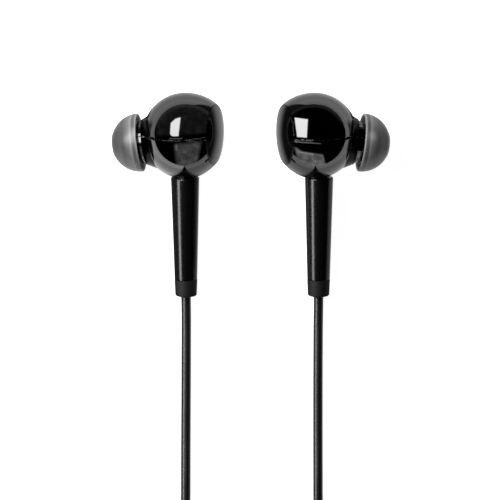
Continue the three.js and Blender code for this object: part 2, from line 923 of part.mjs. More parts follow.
function plugGrip() {
  const seat = jackRadius + clearance;
  return turned([
    [0, gripAt],
    [plugGripRadius - 0.5, gripAt],
    [plugGripRadius, gripAt + 0.6],
    [plugGripRadius, shoulderAt - 0.4],
    [plugGripRadius - 0.3, shoulderAt],
    [seat, shoulderAt],
    [seat, shoulderAt - jackSeatDepth],
    [0, shoulderAt - jackSeatDepth],
  ]);
}

function tipContact() {
  const at = tipContactAt;
  return turned(
    [
      [0, shoulderAt - jackSeatDepth + 2 * clearance],
      [pinRadius, shoulderAt - jackSeatDepth + 2 * clearance],
      [pinRadius, at],
      [jackRadius, at],
      [jackRadius, at + 0.5],
      [jackRadius * 0.66, at + tipContactLength * 0.32],
      [jackRadius * 0.66, at + tipContactLength * 0.4],
      [jackRadius * 0.93, at + tipContactLength * 0.58],
      [jackRadius * 0.85, at + tipContactLength * 0.7],
      [0, at + tipContactLength],
    ],
    smallSides,
  );
}

function plug() {
  const group = new THREE.Group();
  const bore = pinRadius + clearance;
  const sleeveAt = shoulderAt - jackSeatDepth + clearance;
  group.add(
    piece("plug_boot", plugBoot(), rubberBlack),
    piece("plug_grip", plugGrip(), rubberBlack),
    piece(
      "plug_sleeve",
      washer(jackRadius - sleeveWall, jackRadius, sleeveAt, sleeveEndAt - sleeveAt),
      gold,
    ),
    piece(
      "plug_insulator_rear",
      washer(bore, jackRadius, sleeveEndAt + contactGap, insulatorLength),
      insulatorBlack,
    ),
    piece("plug_ring", washer(bore, jackRadius, ringAt, ringLength), gold),
    piece(
      "plug_insulator_front",
      washer(bore, jackRadius, ringAt + ringLength + contactGap, insulatorLength),
      insulatorBlack,
    ),
    piece("plug_tip", tipContact(), gold),
  );
  group.position.set(plugX, mainEndRoute.at(-1)[1] - clearance, plugGripRadius);
  group.rotation.z = Math.PI;
  return group;
}

function branch(side) {
  const group = new THREE.Group();
  const coil = branchCoil(side);
  const mirror = side === "left" ? 1 : -1;
  const end = branchEndRoute.map(([x, y, z]) => [mirror * x, y, z]);
  group.add(
    piece("branch_" + side, routeTube(branchRoute[side], branchRadius, 16), cableBlack),
    piece("branch_coil_" + side, ringTube(coil.points, branchRadius, 6), cableBlack),
    piece("branch_end_" + side, routeTube(end, branchRadius, 6), cableBlack),
    piece("branch_tie_" + side, tie(coil, branchRadius, branchPitch), rubberBlack),
  );
  report("branch coil " + side, coil, branchRadius);
  return group;
}

function mainLead() {
  const group = new THREE.Group();
  const coil = mainCoil();
  group.add(
    piece("splitter", splitter(), rubberBlack),
    piece("main_coil", ringTube(coil.points, mainRadius, 6), cableBlack),
    piece("main_end", routeTube(mainEndRoute, mainRadius, 12), cableBlack),
    piece("main_tie", tie(coil, mainRadius, mainPitch), rubberBlack),
  );
  report("main coil", coil, mainRadius);
  return group;
}

function report(name, coil, radius) {
  const gap = leastGap(coil.points, radius).toFixed(2);
  const length = lengthOf(coil.points).toFixed(0);
  const where = coil.centre.toArray().map((v) => v.toFixed(2));
  console.log(`${name}: centre ${where}, ${length} mm of cable, least gap to itself ${gap} mm`);
}

const root = new THREE.Group();
root.add(bud("left"), bud("right"), branch("left"), branch("right"), mainLead(), plug());

export default root;
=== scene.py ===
import math

import bpy
from mathutils import Matrix, Vector


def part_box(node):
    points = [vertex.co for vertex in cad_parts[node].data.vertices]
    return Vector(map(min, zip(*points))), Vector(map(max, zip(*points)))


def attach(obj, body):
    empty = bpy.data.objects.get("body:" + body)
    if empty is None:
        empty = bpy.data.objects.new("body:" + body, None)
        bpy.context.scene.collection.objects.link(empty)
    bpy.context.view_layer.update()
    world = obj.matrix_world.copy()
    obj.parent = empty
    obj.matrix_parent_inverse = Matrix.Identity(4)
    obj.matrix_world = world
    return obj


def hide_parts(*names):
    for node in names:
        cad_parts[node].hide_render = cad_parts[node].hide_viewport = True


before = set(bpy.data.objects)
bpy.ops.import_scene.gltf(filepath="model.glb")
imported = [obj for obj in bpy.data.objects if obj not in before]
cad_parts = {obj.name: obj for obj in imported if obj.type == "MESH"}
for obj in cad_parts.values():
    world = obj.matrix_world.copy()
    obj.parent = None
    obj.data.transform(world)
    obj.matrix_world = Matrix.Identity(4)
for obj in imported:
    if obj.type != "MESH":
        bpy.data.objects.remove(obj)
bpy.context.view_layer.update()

MM = 0.001

# ---- Camera ----
# Straight above the pair, with the stems pointing down the picture, from as far away as its perspective
# says. The cables leave the picture at its lower edge.
picture_middle = (-0.30 * MM, -11.53 * MM)
camera_height = 600 * MM
bpy.ops.object.select_all(action="DESELECT")
bpy.ops.object.camera_add(location=(*picture_middle, camera_height), rotation=(0, 0, 0))
camera = bpy.context.object
camera.name = "camera"
camera.data.sensor_width = 36
camera.data.lens = 204
camera.data.clip_start = 0.01
bpy.context.scene.camera = camera
bpy.context.scene.view_settings.view_transform = "Standard"

# ---- Branch cables ----
# Each bud has its own 2 mm cable with a soft black elastomer jacket, moulded into the boot and the splitter.
# It lies straight on the table; the length out of view is wound in a flat coil of two layers.


class Value:
    """A node's output, so that shader maths reads as Python."""

    def __init__(self, finish, socket):
        self.finish = finish
        self.socket = socket

    def maths(self, operation, first, second):
        return self.finish.node("Math", {"operation": operation}, {0: first, 1: second})

    def __add__(self, other):
        return self.maths("ADD", self, other)

    def __sub__(self, other):
        return self.maths("SUBTRACT", self, other)

    def __rsub__(self, other):
        return self.maths("SUBTRACT", other, self)

    def __mul__(self, other):
        return self.maths("MULTIPLY", self, other)

    def __pow__(self, other):
        return self.maths("POWER", self, other)

    def __gt__(self, other):
        return self.maths("GREATER_THAN", self, other)

    def larger(self, other):
        return self.maths("MAXIMUM", self, other)

    def size(self):
        return self.maths("ABSOLUTE", self, 0)

    def ease(self, start, end):
        """0 up to start, 1 from end on, and a smooth rise between."""
        inputs = {"Value": self, "From Min": start, "From Max": end}
        return self.finish.node("MapRange", {"interpolation_type": "SMOOTHSTEP"}, inputs)

    __radd__ = __add__
    __rmul__ = __mul__


class Finish:
    """One procedural material: constants go on the shader, and node() adds what varies."""

    def __init__(self, name, **constants):
        self.material = bpy.data.materials.new(name)
        self.material.use_nodes = True
        self.tree = self.material.node_tree
        self.shader = self.tree.nodes["Principled BSDF"]
        for word, value in constants.items():
            self.shader.inputs[word.replace("_", " ")].default_value = value

    def node(self, kind, settings, inputs, output=0):
        made = self.tree.nodes.new("ShaderNode" + kind)
        for word, value in settings.items():
            if word == "stops":
                ramp = made.color_ramp
                while len(ramp.elements) < len(value):
                    ramp.elements.new(0.5)
                for element, (place, color) in zip(ramp.elements, value):
                    element.position = place
                    element.color = (*color, 1)
            else:
                setattr(made, word, value)
        for socket, value in inputs.items():
            self.feed(made.inputs[socket], value)
        return Value(self, made.outputs[output])

    def feed(self, socket, value):
        if isinstance(value, Value):
            self.tree.links.new(value.socket, socket)
        elif socket.type == "RGBA" and len(value) == 3:
            socket.default_value = (*value, 1)
        else:
            socket.default_value = value

    def place(self):
        return self.node("TexCoord", {}, {}, "Object")

    def part(self, vector, letter):
        """The X, Y or Z of a vector."""
        return self.node("SeparateXYZ", {}, {"Vector": vector}, letter)

    def noise(self, size, detail=2.0, roughness=0.5, stretch=None):
        """Noise whose lumps are about size across, in metres."""
        here = self.place()
        if stretch:
            here = self.node("Mapping", {}, {"Vector": here, "Scale": stretch})
        settings = {"Vector": here, "Scale": 1 / size, "Detail": detail, "Roughness": roughness}
        return self.node("TexNoise", {}, settings, "Fac")

    def between(self, share, low, high):
        """A colour from low to high."""
        made = self.tree.nodes.new("ShaderNodeMix")
        made.data_type = "RGBA"
        factor, first, second = made.inputs[0], made.inputs[6], made.inputs[7]
        self.feed(factor, share)
        self.feed(first, low)
        self.feed(second, high)
        return Value(self, made.outputs[2])

    def bumps(self, height, depth, strength=1.0):
        """Relief whose full height is depth, in metres."""
        made = self.node("Bump", {}, {"Height": height, "Distance": depth, "Strength": strength}, "Normal")
        self.feed(self.shader.inputs["Normal"], made)

    def vary(self, socket, value):
        self.feed(self.shader.inputs[socket], value)

    def on(self, *pieces):
        for piece in pieces:
            piece.data.materials.clear()
            piece.data.materials.append(self.material)


def coil_points(entry, bend, centre_x, outer, pitch, turns, radius, leave_at, leave_run):
    """A flat coil in two layers, in mm: along the outer turn, in to the middle, up and out again. The cable
    comes down to it at entry, goes round a bend, and leaves at an angle for a short straight run."""
    lift = 0.8  # room under the turns for the tie
    steps = 24  # points on each turn
    bend_steps = 5
    reach = outer + bend
    bend_x = entry[0] + bend
    drop = math.sqrt(reach**2 - (bend_x - centre_x) ** 2)
    centre_y = entry[1] - drop
    start = math.atan2(drop, bend_x - centre_x)
    low = lift + radius
    points = [(entry[0], entry[1] + 2 * radius, low)]
    for i in range(bend_steps + 1):
        angle = math.pi + start * i / bend_steps
        points.append((bend_x + bend * math.cos(angle), entry[1] + bend * math.sin(angle), low))
    total = 2 * math.pi * turns + start - leave_at
    count = round(total / (2 * math.pi) * steps)
    for i in range(1, count + 1):
        wound = total * i / count
        angle = start - wound
        r = outer - pitch * min(wound, total - wound) / (2 * math.pi)
        share = min(max((wound - total / 2 + math.pi / 2) / math.pi, 0), 1)
        z = low + pitch * share * share * (3 - 2 * share)
        points.append((centre_x + r * math.cos(angle), centre_y + r * math.sin(angle), z))
    x, y, z = points[-1]
    points.append((x + math.sin(leave_at) * leave_run, y - math.cos(leave_at) * leave_run, z))
    return points


def cable(name, points, radius):
    """A round cable along a smooth line through points in mm."""
    data = bpy.data.curves.new(name, "CURVE")
    data.dimensions = "3D"
    data.resolution_u = 4
    data.bevel_depth = radius * MM
    data.bevel_resolution = 4
    data.use_fill_caps = True
    line = data.splines.new("BEZIER")
    line.bezier_points.add(len(points) - 1)
    for knot, point in zip(line.bezier_points, points):
        knot.co = Vector(point) * MM
        knot.handle_left_type = knot.handle_right_type = "AUTO"
    made = bpy.data.objects.new(name, data)
    bpy.context.scene.collection.objects.link(made)
    return made


jacket = Finish("cable_jacket", Base_Color=(0.0045, 0.0045, 0.0047, 1), Roughness=0.34,
                Specular_IOR_Level=0.75)
jacket_grain = jacket.noise(0.00025, detail=3)
jacket_black = jacket.between(jacket.noise(0.004), (0.003, 0.003, 0.0032), (0.006, 0.006, 0.0063))
jacket.vary("Roughness", 0.27 + 0.14 * jacket_grain)
jacket.vary("Base Color", jacket_black)
jacket.bumps(jacket_grain, 0.000012)

# from each boot's mouth down onto the table, and up again toward the coil
branch_starts = {
    "left": [
        (-13.79, -21.1, 2.12),
        (-13.78, -22.95, 1.74),
        (-13.77, -25, 1.36),
        (-13.77, -27.5, 1.1),
        (-13.78, -31, 1),
        (-13.8, -38, 1),
        (-13.83, -45, 1),
        (-13.86, -51, 1.05),
        (-13.87, -56, 1.4),
        (-13.87, -59.5, 1.75),
    ],
    "right": [
        (14.17, -21.1, 2.13),
        (14.17, -22.95, 1.76),
        (14.15, -25, 1.38),
        (14.12, -27.5, 1.1),
        (14.1, -31, 1),
        (14.07, -38, 1),
        (14.06, -45, 1),
        (14.06, -51, 1.05),
        (14.06, -56, 1.4),
        (14.06, -59.5, 1.75),
    ],
}
# from the coil down into the splitter
branch_ends = [(-1.35, -86, 4.25), (-1.35, -88, 4.05), (-1.35, -90, 3.35), (-1.35, -91.9, 2.5),
               (-1.35, -93.4, 2.08), (-1.35, -95.6, 2)]
branches = {}
for side, mirror, entry_x in (("left", 1, -13.87), ("right", -1, -14.06)):
    wound = coil_points(entry=(entry_x, -64.8), bend=5, centre_x=-14.8, outer=13.45, pitch=2.45, turns=4,
                        radius=1, leave_at=0, leave_run=2)
    route = branch_starts[side] + [(mirror * x, y, z) for x, y, z in wound + branch_ends]
    branches[side] = cable("cable_" + side, route, 1)
    jacket.on(branches[side])
    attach(branches[side], "earphones")
    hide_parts("branch_" + side, "branch_coil_" + side, "branch_end_" + side)

# ---- Main cable ----
# The two branches join in the splitter and go on as one 2.4 mm cable of the same jacket. It is wound in a
# flat coil of two layers, passes low over its first turn and ends in the plug's boot.
main_coil = coil_points(entry=(0, -109.7), bend=6, centre_x=-7.5, outer=20.3, pitch=2.85, turns=10,
                        radius=1.2, leave_at=math.pi / 2, leave_run=2.4)
to_plug = [(-1.6, -112.01, 4.85), (1.5, -112.01, 4.84), (5, -112.03, 4.4), (9.5, -112.2, 3.7),
           (13.5, -112.9, 3.3), (17, -114.9, 3.2), (19.3, -117.9, 3.2), (20, -121, 3.2), (20, -124.4, 3.2)]
main_route = [(0, -106.5, 2)] + main_coil + to_plug
main_cable = cable("cable_main", main_route, 1.2)
jacket.on(main_cable)
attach(main_cable, "earphones")
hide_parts("main_coil", "main_end")

# ---- Cable ties ----
# A soft rubber band keeps the turns of each coil together. It is moulded flat with rounded edges, and closes
# round the turns under and over them.
band_rubber = Finish("band_rubber", Base_Color=(0.016, 0.016, 0.017, 1), Roughness=0.7)
band_grain = band_rubber.noise(0.0002, detail=3)
band_black = band_rubber.between(band_rubber.noise(0.003), (0.013, 0.013, 0.014), (0.022, 0.022, 0.023))
band_rubber.vary("Roughness", 0.6 + 0.2 * band_grain)
band_rubber.vary("Base Color", band_black)
band_rubber.bumps(band_grain, 0.00002)


def choose(piece, wanted):
    """In edit mode, selects the faces that wanted(centre, normal) picks."""
    bpy.ops.object.mode_set(mode="OBJECT")
    bpy.ops.object.mode_set(mode="EDIT")
    bpy.ops.mesh.select_mode(type="FACE")
    bpy.ops.mesh.select_all(action="DESELECT")
    bpy.ops.object.mode_set(mode="OBJECT")
    for face in piece.data.polygons:
        face.select = wanted(face.center, face.normal)
    bpy.ops.object.mode_set(mode="EDIT")


def modify(piece, kind, **settings):
    """Adds a modifier and applies it."""
    bpy.ops.object.select_all(action="DESELECT")
    bpy.context.view_layer.objects.active = piece
    piece.select_set(True)
    modifier = piece.modifiers.new(kind.lower(), kind)
    for word, value in settings.items():
        setattr(modifier, word, value)
    bpy.ops.object.modifier_apply(modifier=modifier.name)


def settle(piece, matrix=Matrix.Identity(4)):
    """Puts a piece's place into its mesh, and its object at the origin."""
    bpy.ops.object.select_all(action="DESELECT")
    place = matrix @ piece.matrix_world
    piece.data.transform(place)
    piece.matrix_world = Matrix.Identity(4)
    if place.determinant() < 0:
        piece.data.flip_normals()


band_thickness = 0.5 * MM
band_rounding = 0.28 * MM
ties = {}
for name in ("branch_tie_left", "branch_tie_right", "main_tie"):
    low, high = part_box(name)
    bpy.ops.object.select_all(action="DESELECT")
    bpy.ops.mesh.primitive_cube_add(size=1, location=(low + high) / 2, scale=high - low)
    tie = bpy.context.object
    tie.name = name + "_band"
    bpy.ops.object.transform_apply(location=True, rotation=True, scale=True)
    # the turns go through from side to side
    choose(tie, lambda centre, normal: abs(normal.x) > 0.9)
    bpy.ops.mesh.inset(thickness=band_thickness)
    bpy.ops.mesh.bridge_edge_loops()
    bpy.ops.object.mode_set(mode="OBJECT")
    modify(tie, "BEVEL", width=band_rounding, segments=3, limit_method="ANGLE", angle_limit=math.radians(40))
    bpy.ops.object.shade_smooth_by_angle(angle=math.radians(40))
    settle(tie)
    band_rubber.on(tie)
    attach(tie, "earphones")
    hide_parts(name)
    ties[name] = tie

# ---- Splitter ----
# The Y piece is moulded over both branches and the main cable in black rubber: flat underneath, wide where
# the branches go in, and narrower and lower where the main cable comes out.
splitter_narrowing = 1 - 4.4 / 6.6
splitter_lowering = 0.12
splitter_middle = 2 * MM
low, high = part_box("splitter")
bpy.ops.object.select_all(action="DESELECT")
bpy.ops.mesh.primitive_cube_add(size=1, location=(low + high) / 2, scale=high - low)
splitter = bpy.context.object
splitter.name = "splitter_body"
bpy.ops.object.transform_apply(location=True, rotation=True, scale=True)
bpy.ops.object.mode_set(mode="EDIT")
bpy.ops.mesh.select_all(action="SELECT")
bpy.ops.mesh.subdivide(number_cuts=7)
bpy.ops.object.mode_set(mode="OBJECT")
for corner in splitter.data.vertices:
    along = (high.y - corner.co.y) / (high.y - low.y)
    taper = along * along * (3 - 2 * along)
    corner.co.x *= 1 - splitter_narrowing * taper
    above = corner.co.z - splitter_middle
    if above > 0:
        corner.co.z = splitter_middle + above * (1 - splitter_lowering * taper)
modify(splitter, "BEVEL", width=0.7 * MM, segments=4, limit_method="ANGLE", angle_limit=math.radians(50))
bpy.ops.object.shade_smooth_by_angle(angle=math.radians(40))
settle(splitter)
band_rubber.on(splitter)
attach(splitter, "earphones")
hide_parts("splitter")

# ---- Table and light ----
# A white table fills the picture. The pieces don't mirror it, but dimmer sheets in its place: one for each
# bud and one for the slim pieces, each at its own depth and dark where the pair stands in the way. What is
# round the pair is painted on a dome for each bud, and the pieces out of view mirror a plain white room.


def sheet(depth):
    """A level sheet, far wider than the picture, this many mm under the pieces."""
    bpy.ops.object.select_all(action="DESELECT")
    bpy.ops.mesh.primitive_plane_add(size=6, location=(0, 0, -depth * MM))
    return bpy.context.object


table = sheet(0.02)
table.name = "table"
table.visible_glossy = False
white = Finish("white_table", Base_Color=(0.5, 0.5, 0.5, 1), Roughness=0.8, Emission_Strength=1.0)
white.vary("Emission Color", white.between(white.noise(0.05), (0.98, 0.98, 0.98), (1.0, 1.0, 1.0)))
white.on(table)


def glow(name):
    """A finish that only gives light, and adds it to what is behind."""
    finish = Finish(name, Base_Color=(0, 0, 0, 1), Roughness=1, Specular_IOR_Level=0,
                    Emission_Color=(1, 1, 1, 1))
    clear = finish.node("BsdfTransparent", {}, {})
    both = finish.tree.nodes.new("ShaderNodeAddShader")
    finish.tree.links.new(finish.shader.outputs[0], both.inputs[0])
    finish.tree.links.new(clear.socket, both.inputs[1])
    finish.tree.links.new(both.outputs[0], finish.tree.nodes["Material Output"].inputs["Surface"])
    finish.material.cycles.emission_sampling = "NONE"
    return finish


def only_in_mirrors(thing, name, finish):
    """Names a thing that shines, and keeps it out of all but mirror images."""
    thing.name = name
    finish.on(thing)
    thing.visible_camera = False
    thing.visible_diffuse = False
    thing.visible_transmission = False
    thing.visible_shadow = False
    return thing


bud_middle = {"left": (-13.75, 12.35), "right": (13.15, 12.35)}
sheen_depth = {"left": 0.02, "right": 0.03}
other_bud_range = {"left": (12.5, 23), "right": (10.4, 18)}
corner_brighter = {"left": 0.9, "right": 0.1}
far_brighter = 0.8
other_bud_darker = 0.95
beyond_neck_darker = 0.9
cap_darker = 0.4
stem_length = 32 * MM
full_light_at = 60 * MM
sheens = {}
for side, (x, y) in bud_middle.items():
    mirrored = glow("mirrored_table_" + side)
    # toward the other bud, away past the ear tip, up from the stem and down along it
    toward = (mirrored.part(mirrored.place(), "X") - x * MM) * (1 if side == "left" else -1)
    away = toward * -1
    up = mirrored.part(mirrored.place(), "Y") - y * MM
    down = up * -1
    beyond = up.larger((-stem_length - up).larger(0))
    from_bud = (toward * toward + beyond * beyond) ** 0.5
    open_table = mirrored.node("ValToRGB", {"stops": [
        (0, (0.2, 0.2, 0.2)), (0.05, (0.32, 0.32, 0.32)), (0.12, (0.84, 0.84, 0.84)), (0.25, (1, 1, 1)),
    ]}, {"Fac": from_bud * (1 / full_light_at)}, "Color")
    far = from_bud.ease(20 * MM, 60 * MM)
    # what stands in the table's way: the other bud, this bud's stem, neck and cap, and what is past the neck
    near_other, at_other = other_bud_range[side]
    other_bud = (toward - up.larger(0) * 0.2).ease(near_other * MM, at_other * MM)
    other_bud = other_bud * up.ease(-15 * MM, -9 * MM)
    stem_shade = (1 - toward.size().ease(2.5 * MM, 5.5 * MM)) * down.ease(7 * MM, 10 * MM)
    neck_shade = away.ease(8 * MM, 9.5 * MM) * (1 - away.ease(15 * MM, 18 * MM))
    neck_shade = neck_shade * (1 - up.size().ease(7 * MM, 10 * MM))
    past_neck_shade = away.ease(22 * MM, 30 * MM) * (1 - away.ease(45 * MM, 70 * MM))
    past_neck_shade = past_neck_shade * (1 - (up.size() + toward * 0.4).ease(-5 * MM, 5 * MM))
    cap_shade = toward.ease(4 * MM, 8 * MM) * (1 - up.size().ease(9 * MM, 13 * MM))
    # and the brighter corner between the stem and the ear tip
    corner_light = away.ease(2 * MM, 7 * MM) * down.ease(6 * MM, 13 * MM)
    level = open_table * (1 + far_brighter * far) * (1 + corner_brighter[side] * corner_light)
    level = level * (1 - stem_shade) * (1 - neck_shade) * (1 - beyond_neck_darker * past_neck_shade)
    level = level * (1 - other_bud_darker * other_bud) * (1 - cap_darker * cap_shade)
    mirrored.vary("Emission Strength", level)
    sheens[side] = only_in_mirrors(sheet(sheen_depth[side]), "table_sheen_" + side, mirrored)

# The slim pieces mirror the same table, dim on the left of each and brighter on its right.
left_line = -13.8 * MM
right_line = 14.1 * MM
slim_table = glow("mirrored_table_slim")
slim_x = slim_table.part(slim_table.place(), "X")
right_side = (slim_x > left_line) * (1 - (slim_x > 0)) + (slim_x > right_line)
slim_table.vary("Emission Strength", 0.12 + 0.4 * right_side)
slim_sheen = only_in_mirrors(sheet(0.04), "table_sheen_slim", slim_table)

bpy.ops.object.select_all(action="DESELECT")
bpy.ops.mesh.primitive_uv_sphere_add(segments=48, ring_count=24, radius=4)
room = bpy.context.object
room.name = "room"
room.visible_diffuse = False
room.visible_transmission = False
room.visible_shadow = False
plain = Finish("white_room", Base_Color=(0.0, 0.0, 0.0, 1), Roughness=1, Emission_Strength=1.0)
plain.vary("Emission Color", plain.between(plain.noise(2.0), (0.95, 0.95, 0.95), (1.0, 1.0, 1.0)))
plain.on(room)

# What stands round the pair is placed by where the polished ball mirrors it: across and up from the ball's
# middle, in shares of its radius. Each shape has its light, the softness of its edge, and its corners.
seen_in_ball = {
    "left": [
        # the soft box, and the line of light under it
        (19, 0.02, [(-0.35, 0.02), (-0.325, -0.02), (-0.28, -0.045), (-0.145, -0.045), (-0.108, 0.41),
                    (-0.23, 0.37), (-0.335, 0.27)]),
        (4, 0.02, [(-0.37, -0.1), (-0.06, -0.11), (-0.06, -0.08), (-0.37, -0.07)]),
        (1.3, 0.012, [(0.05, -0.15), (0.5, -0.11), (0.5, -0.09), (0.05, -0.125)]),
        # the ceiling
        (0.16, 0.1, [(-0.7, -0.05), (0.7, -0.05), (0.7, 0.8), (-0.7, 0.8)]),
        # a grey card low in front, and its brighter corner
        (1.05, 0.12, [(-0.24, -0.75), (0.36, -0.8), (0.44, -0.14), (-0.3, -0.16)]),
        (2.8, 0.1, [(-0.26, -0.42), (-0.1, -0.4), (-0.12, -0.17), (-0.28, -0.18)]),
    ],
    "right": [
        # the soft box, and the line of light under it
        (19.5, 0.02, [(-0.41, -0.1), (-0.17, -0.1), (-0.11, 0.35), (-0.42, 0.385)]),
        (3.5, 0.015, [(-0.46, -0.225), (0.14, -0.215), (0.14, -0.19), (-0.46, -0.185)]),
        # the card, which steps up on the left, and its bright edge
        (2.2, 0.05, [(-0.44, -0.8), (0.32, -0.8), (0.2, -0.43), (-0.46, -0.37)]),
        (2.2, 0.05, [(-0.44, -0.8), (0, -0.8), (-0.3, -0.38), (-0.5, -0.28)]),
        (5, 0.035, [(-0.44, -0.45), (-0.02, -0.5), (-0.02, -0.42), (-0.46, -0.38)]),
    ],
}
lamp_from = 3  # a shape brighter than this is a lamp and even, a dimmer one is a mottled card or wall
far_wall_light = 0.22
dome_radius = 0.4
dome_height = 9 * MM
domes = {}
for side, (x, y) in bud_middle.items():
    bpy.ops.object.select_all(action="DESELECT")
    bpy.ops.mesh.primitive_uv_sphere_add(segments=96, ring_count=48, radius=dome_radius,
                                         location=(x * MM, y * MM, dome_height))
    dome = bpy.context.object
    studio = glow("studio_" + side)
    ray = studio.node("VectorMath", {"operation": "NORMALIZE"}, {0: studio.place()}, "Vector")
    leaned = studio.node("VectorMath", {"operation": "ADD"}, {0: ray, 1: (0, 0, 1)}, "Vector")
    facing = studio.node("VectorMath", {"operation": "NORMALIZE"}, {0: leaned}, "Vector")
    across = studio.part(facing, "X")
    up = studio.part(facing, "Y")
    tilt = studio.part(ray, "Z")
    mottle = 0.35 + 1.3 * studio.node("TexNoise", {}, {"Vector": facing, "Scale": 9, "Detail": 3}, "Fac")
    level = across * 0
    for light, softness, corners in seen_in_ball[side]:
        patch = across * 0 + light
        for (x1, y1), (x2, y2) in zip(corners, corners[1:] + corners[:1]):
            span = math.hypot(x2 - x1, y2 - y1)
            inside = (up - y1) * ((x2 - x1) / span) - (across - x1) * ((y2 - y1) / span)
            patch = patch * inside.ease(0, softness)
        level = level.larger(patch if light > lamp_from else patch * mottle ** 2.0)
    # the far wall shows as a dim band just over the table's edge
    far_wall = tilt.ease(0.02, 0.06) * (1 - tilt.ease(0.1, 0.3)) * up.ease(0.2, 0.5)
    level = level + far_wall_light * far_wall
    above_table = tilt.ease(-0.01, 0.015)
    studio.vary("Emission Strength", level * above_table)
    domes[side] = only_in_mirrors(dome, "dome_" + side, studio)


def panel(name, place, target, width, height, radiance):
    """An area light that faces target, in mm. Its radiance is what a perfect mirror would show of it."""
    bpy.ops.object.select_all(action="DESELECT")
    bpy.ops.object.light_add(type="AREA")
    light = bpy.context.object
    light.name = name
    light.data.shape = "RECTANGLE"
    light.data.size = width * MM
    light.data.size_y = height * MM
    light.data.energy = radiance * math.pi * width * height * MM * MM
    back = (Vector(place) - Vector(target)).normalized()
    side_way = Vector((0, 1, 0)).cross(back).normalized()
    turn = Matrix((side_way, back.cross(side_way), back)).transposed().to_4x4()
    light.matrix_world = Matrix.Translation(Vector(place) * MM) @ turn
    light.visible_camera = False
    return light


soft_box = panel("soft_box", place=(-66.7, 57.8, 106), target=(-14, 12, 12), width=60, height=112,
                 radiance=18.5)
tip_light = panel("tip_light", place=(-150, 40, 110), target=(-25, 12, 9), width=60, height=60, radiance=17)
tip_fill = panel("tip_fill", place=(120, 70, 120), target=(27, 12, 9), width=60, height=60, radiance=12)
world = bpy.context.scene.world or bpy.data.worlds.new("world")
bpy.context.scene.world = world
world.use_nodes = True
world.node_tree.nodes["Background"].inputs["Color"].default_value = (0, 0, 0, 1)

# ---- Where each bud lies ----
# A bud is modelled once, in its own frame: x from the cap to the ear tip, y up the stem, the ball's centre
# at zero. It is copied to both sides and laid on the table, where its ball and its boot touch.
ball_radius = 9
ball_y = 12.34
# the ball's x, which way the ear tip points, and the degrees of roll, pitch and lean
lying = {
    "left": (-13.76, -1, 16.5, 11.543857, 0.2),
    "right": (13.15, 1, 16.5, 11.102904, 0.0),
}
bud_place = {}
for side, (x, mirror, roll, pitch, lean) in lying.items():
    bud_place[side] = (
        Matrix.Translation(Vector((x, ball_y, ball_radius)) * MM)
        @ Matrix.Rotation(math.radians(-mirror * lean), 4, "Z")
        @ Matrix.Rotation(math.radians(pitch), 4, "X")
        @ Matrix.Rotation(math.radians(mirror * roll), 4, "Y")
        @ Matrix.Scale(mirror, 4, (1, 0, 0))
    )
stand_up = Matrix.Rotation(math.radians(-90), 4, "X")  # a turned piece's +Z onto +Y
ball_axis = Matrix.Rotation(math.radians(-90), 4, "Z") @ stand_up
nozzle_turned = -10.5
nozzle_down = -97
nozzle_low = -0.4 * MM
nozzle_axis = (
    Matrix.Translation((0, nozzle_low, 0))
    @ Matrix.Rotation(math.radians(nozzle_turned), 4, "Y")
    @ Matrix.Rotation(math.radians(nozzle_down), 4, "Z")
    @ stand_up
)
stem_offset = {"left": 0.15, "right": 1.05}


def stem_axis(side):
    """The line down a bud's stem, a little off the ball's middle."""
    turn = Matrix.Rotation(math.pi, 4, "Z")
    return Matrix.Translation((stem_offset[side] * MM, 0, 0)) @ turn @ stand_up


# ---- Stem ----
# A slim tapered tube of satin black plastic, plugged into the lower shell. Its spark-eroded mould leaves a
# fine grain, so the light along it breaks up.


def rounded(corners):
    """Corners (radius, height, rounding) as a line of (radius, height) points with the corners rounded."""
    most = 0.45  # of the way to the next corner
    beside = 0.2  # a point this far past each end of a rounding keeps the faces beside it flat
    steps = 6
    line = []
    for i, (r, h, rounding) in enumerate(corners):
        here = Vector((r, h))
        if not rounding or i in (0, len(corners) - 1):
            line.append((r, h))
            continue
        before = Vector(corners[i - 1][:2]) - here
        after = Vector(corners[i + 1][:2]) - here
        reach = min(rounding, before.length * most, after.length * most)
        start = here + before.normalized() * reach
        end = here + after.normalized() * reach
        line.append(tuple(start + before.normalized() * reach * beside))
        for k in range(steps):
            t = k / (steps - 1)
            line.append(tuple(start * (1 - t) ** 2 + here * 2 * t * (1 - t) + end * t * t))
        line.append(tuple(end + after.normalized() * reach * beside))
    return line


